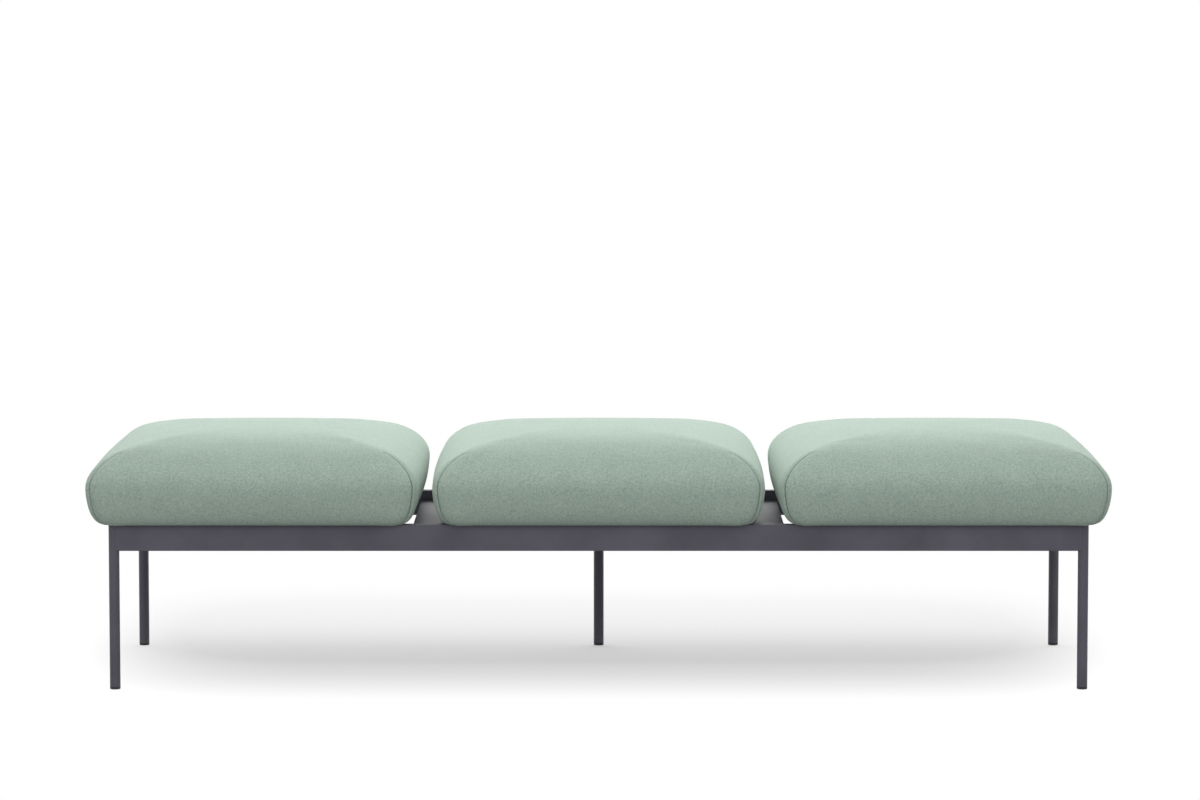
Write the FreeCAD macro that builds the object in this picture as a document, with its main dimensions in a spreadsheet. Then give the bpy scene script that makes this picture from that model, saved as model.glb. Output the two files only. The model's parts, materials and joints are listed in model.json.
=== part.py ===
# Backless three-seat bench: a welded tube frame on five round legs carries three upholstered seats.
# Millimetres. The origin is on the floor under the middle of the bench, the front faces -Y and +Z is up.

import FreeCAD, Part
import math
import os
import re
import Sketcher
from FreeCAD import Placement, Rotation, Vector

# Driving dimensions: name, value and meaning.
SIZES = (
    ("frame_length", 1850, "frame over the end legs"),
    ("frame_depth", 600, "frame, front face to rear face"),
    ("frame_top", 314, "rail tops above the floor"),
    ("rail_height", 50, "long and end rails, vertical side"),
    ("rail_wall", 2, "wall of the rectangular tubes"),
    ("rail_corner", 1.5, "outer edge radius of the rectangular tubes"),
    ("cross_width", 60, "cross tube, horizontal side"),
    ("cross_height", 20, "cross tube, vertical side"),
    ("cross_drop", 20, "rail top down to cross tube top"),
    ("leg_diameter", 20, "round leg tube, and the thickness of the rails, which run flush with it"),
    ("leg_wall", 2, "wall of the leg tube"),
    ("cope_land", 3, "distance from the leg's axis to the end of a coped rail"),
    ("fit_gap", 0.05, "radial gap of inserts and screw threads"),
    ("cap_thick", 3, "disc welded into the top of a leg"),
    ("insert_length", 25, "threaded insert in the foot of a leg"),
    ("glide_height", 5, "glide base under the leg"),
    ("glide_edge", 1, "bevel round the glide's sole"),
    ("stem_diameter", 8, "screw stem of the glide"),
    ("stem_length", 29, "screw stem above the glide base"),
    ("seat_gap", 23, "room between two seats at their widest line"),
    ("seat_overhang", 18, "bottom edge of an end seat past the end of the frame"),
    ("board_lap", 10, "seat board past the outer faces of the long rails"),
    ("board_thick", 15, "plywood"),
    ("board_corner", 28, "corner radius of the seat board"),
    ("cover_thick", 2, "upholstery fabric with its lining"),
    ("cover_return", 24, "fabric turned under the seat board at its sides"),
    ("hem_room", 6, "hem of the fabric turned under at front and rear to the inner face of the rail"),
    ("wadding", 6, "room for the wadding between the foam and the cover"),
    ("dust_gap", 0.5, "room round the dust cover's edge"),
    ("cushion_rise", 156, "underside of the seat to the top of its crown"),
    ("swell_height", 73, "underside of the seat to its widest line"),
    ("swell_side", 25, "how far the sides swell past the bottom edge"),
    ("swell_front", 28, "how far front and rear swell past the bottom edge"),
    ("crown_corner", 14, "corner rounding at the height of the crown"),
    ("fixing_edge", 100, "screw to the side edge of the seat board"),
    ("fixing_inset", 16, "screw to the inner face of the rail"),
    ("bracket_width", 40, "angle bracket along the rail"),
    ("bracket_reach", 30, "angle bracket out from the rail"),
    ("bracket_drop", 30, "angle bracket down the rail"),
    ("bracket_thick", 4, "angle bracket plate"),
    ("bracket_room", 5, "dust cover to the angle brackets"),
    ("screw_diameter", 6, "seat screw"),
    ("screw_room", 2, "wood over the tip of a seat screw"),
    ("screw_head", 11.5, "hexagon head, corner to corner"),
    ("head_height", 4, "hexagon head"),
    ("slot_length", 14, "slot for a seat screw, along the rail"),
    ("slot_gap", 0.4, "room each side of a screw in its slot"),
)

# Sizes that follow from the driving dimensions.
DERIVED = (
    ("seat_foot", "(frame_length + 2 * seat_overhang - 2 * seat_gap - 4 * swell_side) / 3"),
    ("board_width", "seat_foot - 2 * cover_thick"),
    ("board_depth", "frame_depth + 2 * board_lap"),
    ("seat_pitch", "seat_foot + 2 * swell_side + seat_gap"),
    ("rail_thick", "leg_diameter"),
    ("line_x", "(frame_length - leg_diameter) / 2"),
    ("line_y", "(frame_depth - leg_diameter) / 2"),
    ("rail_z", "frame_top - rail_height / 2"),
    ("coped_length", "frame_length - leg_diameter - 2 * cope_land"),
    ("coped_depth", "frame_depth - leg_diameter - 2 * cope_land"),
    ("opening_width", "board_width - 2 * cover_return"),
    ("opening_depth", "frame_depth - 2 * rail_thick + 2 * hem_room"),
    ("fixing_x", "board_width / 2 - fixing_edge"),
    ("fixing_y", "frame_depth / 2 - rail_thick - fixing_inset"),
    ("seat_bottom", "frame_top + cover_thick"),
    ("screw_z", "seat_bottom - bracket_thick"),
    ("screw_length", "bracket_thick + board_thick - screw_room"),
)

# The corners grow crisper with height, slowly at first and then fast towards the crown.
CORNER_CHANGE = 4
# Above its widest line the cushion is a superellipse: one power draws the shoulder in, one lifts the crown.
SHOULDER_POWER = 0.46
CROWN_POWER = 1.13
# A corner takes up at most this share of the side it ends, so that a side remains between two corners.
LARGEST_CORNER = 0.8
# Outlines below the widest line, and the angles in degrees of those up the shoulder above it.
COVER_STEPS = (2, (22, 42, 60, 75, 85))
FOAM_STEPS = (1, (45, 80))
# Flat facets that each corner of an outline is rounded with.
CORNER_FACETS = 8

# Sketched lines start at this size, and their dimensions then pull them to the sizes above.
ROUGH = 9
# Lengths closer than this are the same.
NEAR = 1e-6

SEATS = {"left": -1, "middle": 0, "right": 1}
LONG_RAILS = {"front": -1, "rear": 1}
ENDS = {"left": -1, "right": 1}

doc = FreeCAD.newDocument("bench")
sheet = doc.addObject("Spreadsheet::Sheet", "sizes")
for row, (alias, number, meaning) in enumerate(SIZES, 1):
    sheet.set(f"A{row}", meaning)
    sheet.set(f"B{row}", str(number))
    sheet.setAlias(f"B{row}", alias)
derived = doc.addObject("App::VarSet", "derived")
DERIVED_NAMES = [name for name, formula in DERIVED]
NODES = []


def cells(expression):
    """Write an expression with the names of the sheet's cells and of the derived sizes."""
    def full_name(word):
        owner = "derived." if word.group() in DERIVED_NAMES else "sizes."
        return owner + word.group()

    return re.sub(r"[a-z]\w*", full_name, expression)


def bind(item, **properties):
    """Tie properties of an object to expressions on the sheet."""
    for name, expression in properties.items():
        item.setExpression(name, cells(expression))


def place(item, x="0", y="0", z="0"):
    for axis, expression in zip("xyz", (x, y, z)):
        item.setExpression(f"Placement.Base.{axis}", cells(expression))


def node(item, label):
    """Name an object as a finished piece of the bench."""
    item.Label = label
    NODES.append(item)
    return item


for name, formula in DERIVED:
    derived.addProperty("App::PropertyFloat", name)
    derived.setExpression(name, cells(formula))
doc.recompute()
VALUES = {alias: float(sheet.get(alias)) for alias, number, meaning in SIZES}
VALUES.update({name: getattr(derived, name) for name in DERIVED_NAMES})

# Primitives and booleans tied to the sheet.


def cylinder(name, diameter, height, x="0", y="0", z="0"):
    item = doc.addObject("Part::Cylinder", name)
    bind(item, Radius=f"({diameter}) / 2", Height=height)
    place(item, x, y, z)
    return item


def box(name, length, width, height, x, y, z):
    item = doc.addObject("Part::Box", name)
    bind(item, Length=length, Width=width, Height=height)
    place(item, x, y, z)
    return item


def cut(name, base, *tools):
    tool = tools[0]
    if len(tools) > 1:
        tool = doc.addObject("Part::MultiFuse", name + "_cutter")
        tool.Shapes = list(tools)
    item = doc.addObject("Part::Cut", name)
    item.Base = base
    item.Tool = tool
    return item


def fuse(name, *pieces):
    item = doc.addObject("Part::MultiFuse", name)
    item.Shapes = list(pieces)
    return item


def group(label, piece, places):
    """Several copies of one small piece, kept together as one node of separate solids."""
    doc.recompute()
    copies = []
    for spot in places:
        copy = piece.Shape.copy()
        copy.translate(spot)
        copies.append(copy)
    item = doc.addObject("Part::Feature", label)
    item.Shape = Part.makeCompound(copies)
    return node(item, label)


# Sketches on the origin planes of a body.


def sketch(body, role, name, height="0"):
    drawing = body.newObject("Sketcher::SketchObject", name)
    plane = next(item for item in body.Origin.OriginFeatures if item.Role == role)
    drawing.AttachmentSupport = [(plane, "")]
    drawing.MapMode = "FlatFace"
    drawing.setExpression("AttachmentOffset.Base.z", cells(height))
    return drawing


def dimension(drawing, constraint, name, expression):
    index = drawing.addConstraint(constraint)
    drawing.renameConstraint(index, name)
    drawing.setExpression("Constraints." + name, cells(expression))


def rectangle(drawing, name, width, height):
    """Rectangle centred on the sketch's origin."""
    corners = (Vector(-ROUGH, -ROUGH), Vector(ROUGH, -ROUGH), Vector(ROUGH, ROUGH), Vector(-ROUGH, ROUGH))
    sides = [
        drawing.addGeometry(Part.LineSegment(start, end))
        for start, end in zip(corners, corners[1:] + corners[:1])
    ]
    for side, following in zip(sides, sides[1:] + sides[:1]):
        drawing.addConstraint(Sketcher.Constraint("Coincident", side, 2, following, 1))
    for side, direction in zip(sides, ("Horizontal", "Vertical") * 2):
        drawing.addConstraint(Sketcher.Constraint(direction, side))
    drawing.addConstraint(Sketcher.Constraint("Symmetric", sides[0], 1, sides[1], 2, -1, 1))
    across = Sketcher.Constraint("DistanceX", sides[0], 1, sides[0], 2, 2 * ROUGH)
    upward = Sketcher.Constraint("DistanceY", sides[1], 1, sides[1], 2, 2 * ROUGH)
    dimension(drawing, across, name + "_width", width)
    dimension(drawing, upward, name + "_height", height)


def four_circles(drawing, name, x, y, diameter):
    """Equal circles in the four quadrants, mirrored across both axes of the sketch."""
    circles = [
        drawing.addGeometry(Part.Circle(Vector(ROUGH * right, ROUGH * up), Vector(0, 0, 1), ROUGH / 2))
        for right, up in ((1, 1), (-1, 1), (1, -1), (-1, -1))
    ]
    first = circles[0]
    for circle, mirror in zip(circles[1:], ((-2,), (-1,), (-1, 1))):
        drawing.addConstraint(Sketcher.Constraint("Equal", first, circle))
        drawing.addConstraint(Sketcher.Constraint("Symmetric", first, 3, circle, 3, *mirror))
    dimension(drawing, Sketcher.Constraint("Diameter", first, ROUGH), name + "_diameter", diameter)
    dimension(drawing, Sketcher.Constraint("DistanceX", -1, 1, first, 3, ROUGH), name + "_x", x)
    dimension(drawing, Sketcher.Constraint("DistanceY", -1, 1, first, 3, ROUGH), name + "_y", y)


def pad(body, profile, length, side="One side"):
    feature = body.newObject("PartDesign::Pad", profile.Name + "_pad")
    feature.Profile = profile
    feature.SideType = side
    bind(feature, Length=length)
    doc.recompute()
    return feature


def pocket(body, profile):
    """Cut right through a body from a sketch."""
    before = body.Shape.Volume
    feature = body.newObject("PartDesign::Pocket", profile.Name + "_pocket")
    feature.Profile = profile
    feature.Type = "ThroughAll"
    doc.recompute()
    assert body.Shape.Volume < before, profile.Name + " cuts nothing"
    return feature


def edge_names(feature, wanted):
    return [f"Edge{i}" for i, edge in enumerate(feature.Shape.Edges, 1) if wanted(edge)]


def round_edges(body, feature, radius, wanted):
    """Fillet the edges of a feature that pass a test."""
    fillet = body.newObject("PartDesign::Fillet", feature.Name + "_fillet")
    fillet.Base = (feature, edge_names(feature, wanted))
    bind(fillet, Radius=radius)
    doc.recompute()


def bevel_edges(body, feature, width, wanted):
    """Chamfer the edges of a feature that pass a test."""
    chamfer = body.newObject("PartDesign::Chamfer", feature.Name + "_chamfer")
    chamfer.Base = (feature, edge_names(feature, wanted))
    bind(chamfer, Size=width)
    doc.recompute()


def is_upright(edge):
    ends = edge.Vertexes
    return len(ends) == 2 and ends[0].Point.sub(ends[1].Point).cross(Vector(0, 0, 1)).Length < NEAR


# Frame tubes.


def rectangular_tube(name, role, width, height, length, x, y, z):
    """Tube with rounded long edges, drawn across its length and centred on x, y, z."""
    tube = doc.addObject("PartDesign::Body", name)
    profile = sketch(tube, role, name + "_profile")
    rectangle(profile, "outside", width, height)
    rectangle(profile, "inside", f"{width} - 2 * rail_wall", f"{height} - 2 * rail_wall")
    wall = pad(tube, profile, length, "Symmetric")
    middle = wall.Shape.BoundBox.Center
    longest = max(edge.Length for edge in wall.Shape.Edges)
    long_edges = [edge for edge in wall.Shape.Edges if edge.Length > longest - NEAR]
    reach = max(edge.CenterOfMass.distanceToPoint(middle) for edge in long_edges)

    def is_outer_long_edge(edge):
        return edge.Length > longest - NEAR and edge.CenterOfMass.distanceToPoint(middle) > reach - NEAR

    round_edges(tube, wall, "rail_corner", is_outer_long_edge)
    place(tube, x, y, z)
    return tube


def signed(side, expression):
    return f"{side} * {expression}"


# Where a leg or a long rail stands, its neighbours are cut away to fit round it.
leg_spaces = {}
for end, side in ENDS.items():
    for rail, face in LONG_RAILS.items():
        space = cylinder(f"{rail}_{end}_leg_space", "leg_diameter", "frame_top",
                         signed(side, "line_x"), signed(face, "line_y"))
        leg_spaces[rail, end] = space

rail_spaces = {}
for rail, face in LONG_RAILS.items():
    rail_spaces[rail] = box(f"{rail}_rail_space", "coped_length", "rail_thick", "frame_top",
                            "0 - coped_length / 2", signed(face, "line_y") + " - rail_thick / 2", "0")

for rail, face in LONG_RAILS.items():
    tube = rectangular_tube(f"{rail}_rail_tube", "YZ_Plane", "rail_thick", "rail_height", "coped_length",
                            "0", signed(face, "line_y"), "rail_z")
    coped = cut(f"{rail}_rail_coped", tube, leg_spaces[rail, "left"], leg_spaces[rail, "right"])
    node(coped, f"{rail}_rail")

for end, side in ENDS.items():
    tube = rectangular_tube(f"{end}_end_tube", "XZ_Plane", "rail_thick", "rail_height", "coped_depth",
                            signed(side, "line_x"), "0", "rail_z")
    coped = cut(f"{end}_end_coped", tube, leg_spaces["front", end], leg_spaces["rear", end],
                rail_spaces["front"], rail_spaces["rear"])
    node(coped, f"{end}_end_rail")

# A cross tube lies flat under each gap between two seats, a step below the rail tops.
for end, side in ENDS.items():
    tube = rectangular_tube(f"{end}_cross", "XZ_Plane", "cross_width", "cross_height",
                            "frame_depth - 2 * rail_thick",
                            signed(side, "seat_pitch / 2"), "0", "frame_top - cross_drop - cross_height / 2")
    node(tube, f"{end}_cross_tube")


def leg(name, x, y, top):
    """Round tube with a disc welded flush into its upper end."""
    length = f"{top} - glide_height"
    tube = cylinder(name + "_tube", "leg_diameter", length, x, y, "glide_height")
    bore = cylinder(name + "_bore", "leg_diameter - 2 * leg_wall", length + " - cap_thick",
                    x, y, "glide_height")
    return node(cut(name, tube, bore), name)


LEGS = {}
for end, side in ENDS.items():
    for rail, face in LONG_RAILS.items():
        LEGS[f"{rail}_{end}"] = (signed(side, "line_x"), signed(face, "line_y"), "frame_top")
LEGS["rear_middle"] = ("0", "line_y", "(frame_top - rail_height)")
for name, (x, y, top) in LEGS.items():
    leg(f"{name}_leg", x, y, top)

leg_spots = [Vector(0, VALUES["line_y"])]
for side in ENDS.values():
    for face in LONG_RAILS.values():
        leg_spots.append(Vector(side * VALUES["line_x"], face * VALUES["line_y"]))

insert_width = "leg_diameter - 2 * leg_wall - 2 * fit_gap"
insert_body = cylinder("insert_body", insert_width, "insert_length", z="glide_height")
insert_thread = cylinder("insert_thread", "stem_diameter + 2 * fit_gap", "insert_length", z="glide_height")
group("leg_inserts", cut("leg_insert", insert_body, insert_thread), leg_spots)


# Levelling glides: a round sole under a screw stem.


def glide(name, x, y):
    base = doc.addObject("PartDesign::Body", name + "_base")
    outline = sketch(base, "XY_Plane", name + "_outline")
    circle = outline.addGeometry(Part.Circle(Vector(), Vector(0, 0, 1), ROUGH))
    outline.addConstraint(Sketcher.Constraint("Coincident", circle, 3, -1, 1))
    dimension(outline, Sketcher.Constraint("Diameter", circle, 2 * ROUGH), "sole", "leg_diameter")
    sole = pad(base, outline, "glide_height")
    bevel_edges(base, sole, "glide_edge", lambda edge: edge.BoundBox.ZMax < NEAR)
    place(base, x, y)
    node(base, name + "_base")
    stem = cylinder(name + "_screw", "stem_diameter", "stem_length", x, y, "glide_height")
    node(stem, name + "_stem")


for name, (x, y, top) in LEGS.items():
    glide(f"{name}_glide", x, y)


# Seats.


def cushion_corner(height):
    low = VALUES["board_corner"] + VALUES["cover_thick"]
    return low + (VALUES["crown_corner"] - low) * (height / VALUES["cushion_rise"]) ** CORNER_CHANGE


def cushion_outline(height, half_width, half_depth, corner):
    """Points of the plan outline at one height: a rectangle with its corners rounded in flat facets."""
    corner = min(corner, LARGEST_CORNER * half_width, LARGEST_CORNER * half_depth)
    points = []
    for quarter, (across, along) in enumerate(((1, 1), (-1, 1), (-1, -1), (1, -1))):
        centre = Vector(across * (half_width - corner), along * (half_depth - corner), height)
        for step in range(CORNER_FACETS + 1):
            turn = math.pi / 2 * (quarter + step / CORNER_FACETS)
            points.append(centre + Vector(corner * math.cos(turn), corner * math.sin(turn)))
    return points


def flat_face(points):
    return Part.Face(Part.makePolygon(points + points[:1]))


def banded_solid(outlines):
    """Solid of flat faces between outlines that lie one above the other."""
    faces = [flat_face(outlines[0]), flat_face(outlines[-1])]
    for low, high in zip(outlines, outlines[1:]):
        for index in range(len(low)):
            faces.append(flat_face([low[index - 1], low[index], high[index], high[index - 1]]))
    shell = Part.makeShell(faces)
    shell.sewShape()
    return Part.Solid(shell)


def cushion_form(inset, bottom, steps):
    """Solid of the swollen seat, drawn in by an inset and starting at a height above its underside."""
    bottom_width = VALUES["seat_foot"] / 2 - inset
    bottom_depth = VALUES["board_depth"] / 2 + VALUES["cover_thick"] - inset
    wide = bottom_width + VALUES["swell_side"]
    deep = bottom_depth + VALUES["swell_front"]
    middle = VALUES["swell_height"]
    top = VALUES["cushion_rise"] - inset
    lower_steps, upper_steps = steps
    outlines = []
    first_angle = math.asin((middle - bottom) / (middle - inset))
    for step in range(lower_steps):
        angle = first_angle * (1 - step / lower_steps)
        height = middle - (middle - inset) * math.sin(angle)
        swell = math.cos(angle)
        outlines.append(cushion_outline(height, bottom_width + VALUES["swell_side"] * swell,
                                        bottom_depth + VALUES["swell_front"] * swell,
                                        cushion_corner(height) - inset))
    for degrees in (0,) + upper_steps:
        angle = math.radians(degrees)
        lift = math.sin(angle) / math.sin(math.radians(upper_steps[-1]))
        height = middle + (top - middle) * lift ** CROWN_POWER
        share = math.cos(angle) ** SHOULDER_POWER
        outlines.append(cushion_outline(height, wide * share, deep * share,
                                        cushion_corner(height) - inset))
    return banded_solid(outlines)


def soft_solid(name, form, x):
    item = doc.addObject("Part::Feature", name)
    item.Shape = form
    item.Placement = Placement(Vector(x, 0, VALUES["frame_top"]), Rotation())
    return item


def panel(name, width, depth, thick, x, z):
    """Flat rectangular sheet under the middle of a seat."""
    sheet_body = doc.addObject("PartDesign::Body", name)
    outline = sketch(sheet_body, "XY_Plane", name + "_outline")
    rectangle(outline, "panel", width, depth)
    flat = pad(sheet_body, outline, thick)
    place(sheet_body, x, "0", z)
    return sheet_body, flat


cover_outside = cushion_form(0, 0, COVER_STEPS)
cover_inside = cushion_form(VALUES["cover_thick"], VALUES["cover_thick"], COVER_STEPS)
foam_bottom = VALUES["cover_thick"] + VALUES["board_thick"]
foam_form = cushion_form(VALUES["cover_thick"] + VALUES["wadding"], foam_bottom, FOAM_STEPS)

for name, index in SEATS.items():
    seat_x = index * VALUES["seat_pitch"]
    middle_x = signed(index, "seat_pitch")
    outside = soft_solid(f"{name}_cover_outside", cover_outside, seat_x)
    inside = soft_solid(f"{name}_cover_inside", cover_inside, seat_x)
    opening = box(f"{name}_cover_opening", "opening_width", "opening_depth", "cover_thick",
                  f"{middle_x} - opening_width / 2", "0 - opening_depth / 2", "frame_top")
    node(cut(f"{name}_cover", outside, inside, opening), f"{name}_seat_cover")
    node(soft_solid(f"{name}_foam", foam_form, seat_x), f"{name}_seat_foam")

    board, blank = panel(f"{name}_board", "board_width", "board_depth", "board_thick",
                         middle_x, "seat_bottom")
    round_edges(board, blank, "board_corner", is_upright)
    pilots = sketch(board, "XY_Plane", f"{name}_pilots", "board_thick")
    four_circles(pilots, "pilot", "fixing_x", "fixing_y", "screw_diameter + 2 * fit_gap")
    pocket(board, pilots)
    node(board, f"{name}_seat_board")

    dust, blank = panel(f"{name}_dust", "opening_width - 2 * dust_gap",
                        "frame_depth - 2 * (rail_thick + bracket_reach + bracket_room)",
                        "cover_thick", middle_x, "frame_top")
    node(dust, f"{name}_dust_cover")

# Seat fixings: angle brackets welded inside the rails, and screws from below into the boards.
fixing_spots = [
    Vector(index * VALUES["seat_pitch"] + side * VALUES["fixing_x"], face * VALUES["fixing_y"])
    for index in SEATS.values()
    for side in ENDS.values()
    for face in LONG_RAILS.values()
]
for rail, face in LONG_RAILS.items():
    shelf_y = "0 - fixing_inset" if face < 0 else "fixing_inset - bracket_reach"
    wall_y = "0 - fixing_inset" if face < 0 else "fixing_inset - bracket_thick"
    half_width = "0 - bracket_width / 2"
    shelf = box(f"{rail}_bracket_shelf", "bracket_width", "bracket_reach", "bracket_thick",
                half_width, shelf_y, "screw_z")
    wall = box(f"{rail}_bracket_wall", "bracket_width", "bracket_thick", "bracket_drop",
               half_width, wall_y, "seat_bottom - bracket_drop")
    slot = box(f"{rail}_bracket_slot", "slot_length", "screw_diameter + 2 * slot_gap", "bracket_thick",
               "0 - slot_length / 2", "0 - screw_diameter / 2 - slot_gap", "screw_z")
    angle = fuse(f"{rail}_bracket_angle", shelf, wall)
    spots = [spot for spot in fixing_spots if spot.y * face > 0]
    group(f"{rail}_seat_brackets", cut(f"{rail}_bracket", angle, slot), spots)

head = doc.addObject("Part::Prism", "screw_head_prism")
head.Polygon = 6
bind(head, Circumradius="screw_head / 2", Height="head_height")
place(head, z="screw_z - head_height")
shank = cylinder("screw_shank", "screw_diameter", "screw_length", z="screw_z")
group("seat_screws", fuse("seat_screw", head, shank), fixing_spots)

doc.recompute()
for item in doc.Objects:
    assert not {"Invalid", "Error"} & set(item.State), f"{item.Label} failed: {item.State}"
for item in NODES:
    assert not item.Shape.isNull() and item.Shape.isValid(), f"{item.Label} has no valid shape"
    assert item.Shape.Volume > 0, f"{item.Label} is empty"

os.makedirs("parts", exist_ok=True)
for item in NODES:
    item.Shape.exportStep(f"parts/{item.Label}.step")
print(len(NODES), "pieces written")
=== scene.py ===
# %% [markdown]
# A backless bench: three swollen felt seats on a slim tube frame. The frame, the legs and the soles of
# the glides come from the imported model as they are. This lesson gives them their finishes, sews and
# swells the seat covers that stand for the plain soft solids, and cuts the threads of the glides.

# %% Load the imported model
import json
import math

import bmesh
import bpy
import numpy as np
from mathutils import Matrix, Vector, kdtree


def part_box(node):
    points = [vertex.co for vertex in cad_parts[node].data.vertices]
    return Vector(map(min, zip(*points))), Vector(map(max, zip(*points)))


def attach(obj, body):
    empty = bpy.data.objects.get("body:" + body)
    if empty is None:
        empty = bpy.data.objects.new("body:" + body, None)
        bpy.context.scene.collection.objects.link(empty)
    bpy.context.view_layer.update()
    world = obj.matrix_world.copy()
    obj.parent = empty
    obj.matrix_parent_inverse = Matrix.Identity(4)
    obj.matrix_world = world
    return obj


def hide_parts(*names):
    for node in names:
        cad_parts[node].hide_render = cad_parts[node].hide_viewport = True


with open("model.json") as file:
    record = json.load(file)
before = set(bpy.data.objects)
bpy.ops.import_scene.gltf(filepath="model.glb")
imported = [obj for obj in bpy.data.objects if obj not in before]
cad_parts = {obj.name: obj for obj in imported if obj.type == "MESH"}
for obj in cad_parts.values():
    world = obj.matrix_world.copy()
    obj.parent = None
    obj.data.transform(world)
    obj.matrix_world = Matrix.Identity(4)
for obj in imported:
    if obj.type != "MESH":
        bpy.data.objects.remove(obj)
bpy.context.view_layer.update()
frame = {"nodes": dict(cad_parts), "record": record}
scene = bpy.context.scene

# %% [markdown]
# The photograph was taken from far off with a long lens, so the rails stay almost parallel. The lens,
# the tilt and the distance were found by fitting the rail ends and the feet, and they are written here
# as a real camera: a place in metres, a tilt in degrees and a lens in millimetres.

# %% Camera
CAMERA_PLACE = (0.0026, -9.211, 1.3807)
CAMERA_TILT = 84.675
LENS = 142.78
SENSOR_WIDTH = 36.0

camera_data = bpy.data.cameras.new("camera")
camera_data.lens = LENS
camera_data.sensor_width = SENSOR_WIDTH
camera_data.sensor_fit = "HORIZONTAL"
camera = bpy.data.objects.new("camera", camera_data)
camera.location = CAMERA_PLACE
camera.rotation_euler = (math.radians(CAMERA_TILT), 0, 0)
scene.collection.objects.link(camera)
scene.camera = camera
scene.view_settings.view_transform = "Standard"
print("camera at", CAMERA_PLACE)

# %% [markdown]
# Shader maths reads best as plain sums. One small class wraps an output socket: each sum of two of them,
# or of one and a plain number, adds a Math node behind the scenes.


# %% Shader sums
class Amount:
    """An output socket: a number, or now and then a colour or a shader, that changes over a surface."""

    def __init__(self, tree, socket):
        self.tree = tree
        self.socket = socket

    def sum(self, operation, other, swapped=False):
        first, second = (other, self) if swapped else (self, other)
        return self.tree.node("ShaderNodeMath", {"operation": operation}, {0: first, 1: second})

    def __add__(self, other):
        return self.sum("ADD", other)

    def __radd__(self, other):
        return self.sum("ADD", other, True)

    def __sub__(self, other):
        return self.sum("SUBTRACT", other)

    def __rsub__(self, other):
        return self.sum("SUBTRACT", other, True)

    def __mul__(self, other):
        return self.sum("MULTIPLY", other)

    def __rmul__(self, other):
        return self.sum("MULTIPLY", other, True)

    def __pow__(self, other):
        return self.sum("POWER", other)

    def __rpow__(self, other):
        return self.sum("POWER", other, True)


print("shader sums ready")

# %% [markdown]
# Every other node comes from one method, which takes the node's type, its settings and the values or
# links of its sockets. The class around it works for any node tree, so the room uses it as well. It also
# knows which rays end at the camera, because a white studio looks brighter than the light it gives.


# %% Node trees
class Nodes:
    """A node tree that is built node by node."""

    def __init__(self, tree):
        self.nodes = tree.nodes
        self.links = tree.links

    def first(self, kind):
        return next(node for node in self.nodes if node.type == kind)

    def set(self, node, sockets):
        for key, value in sockets.items():
            socket = node.inputs[key]
            if isinstance(value, Amount):
                self.links.new(value.socket, socket)
            else:
                socket.default_value = value

    def node(self, kind, settings=None, sockets=None, output=0):
        node = self.nodes.new(kind)
        for key, value in (settings or {}).items():
            setattr(node, key, value)
        self.set(node, sockets or {})
        return Amount(self, node.outputs[output])

    def between(self, amount, low, high, start=0.0, end=1.0):
        """Stretch the part of an amount from low to high over start to end, and clip the rest."""
        sockets = {"Value": amount, "From Min": low, "From Max": high, "To Min": start, "To Max": end}
        return self.node("ShaderNodeMapRange", {"clamp": True}, sockets)

    def seen(self):
        """1 for what the camera sees, straight or by way of gloss or glass, and 0 for other light."""
        kinds = ("Camera", "Glossy", "Transmission")
        camera, glossy, clear = [self.node("ShaderNodeLightPath", output=f"Is {kind} Ray") for kind in kinds]
        total = camera + glossy + clear
        return self.node("ShaderNodeMath", {"operation": "MINIMUM"}, {0: total, 1: 1.0})


print("node trees ready")

# %% [markdown]
# A finish is a node tree with a Principled shader at its end. Most finishes here are noise of several
# sizes that mixes two or three tones, so noise, mixing and bump get a short name each. Colours are
# written as they look on a screen, and one function turns them into the linear values of a shader.


# %% Finishes
class Finish(Nodes):
    """One material with a Principled shader."""

    def __init__(self, name):
        self.material = bpy.data.materials.new(name)
        self.material.use_nodes = True
        super().__init__(self.material.node_tree)
        self.shader = self.first("BSDF_PRINCIPLED")
        self.output = self.first("OUTPUT_MATERIAL")

    def place(self):
        return self.node("ShaderNodeTexCoord", output="Object")

    def stretched(self, scale, turn=(0, 0, 0)):
        """Object coordinates, turned and stretched."""
        return self.node("ShaderNodeMapping", {}, {"Vector": self.place(), "Rotation": turn, "Scale": scale})

    def noise(self, vector, scale, detail=2.0, roughness=0.5):
        sockets = {"Vector": vector, "Scale": scale, "Detail": detail, "Roughness": roughness}
        return self.node("ShaderNodeTexNoise", {}, sockets)

    def mix(self, share, first, second):
        """Blend two colours."""
        return self.node("ShaderNodeMix", {"data_type": "RGBA"}, {0: share, 6: first, 7: second}, output=2)

    def blend(self, share, first, second):
        """Blend two shaders."""
        return self.node("ShaderNodeMixShader", {}, {0: share, 1: first, 2: second})

    def bump(self, height, distance, strength):
        sockets = {"Height": height, "Distance": distance, "Strength": strength}
        return self.node("ShaderNodeBump", {}, sockets)

    def finish(self, **sockets):
        """Set the Principled shader's sockets, whose names are written here with underscores."""
        self.set(self.shader, {key.replace("_", " "): value for key, value in sockets.items()})
        return self.material


def colour(red, green, blue):
    """Screen colour from 0 to 255 as the linear values that a shader takes."""
    parts = []
    for part in (red, green, blue):
        share = part / 255
        parts.append(share / 12.92 if share <= 0.04045 else ((share + 0.055) / 1.055) ** 2.4)
    return (*parts, 1.0)


print("middle grey:", [round(part, 3) for part in colour(128, 128, 128)])
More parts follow.
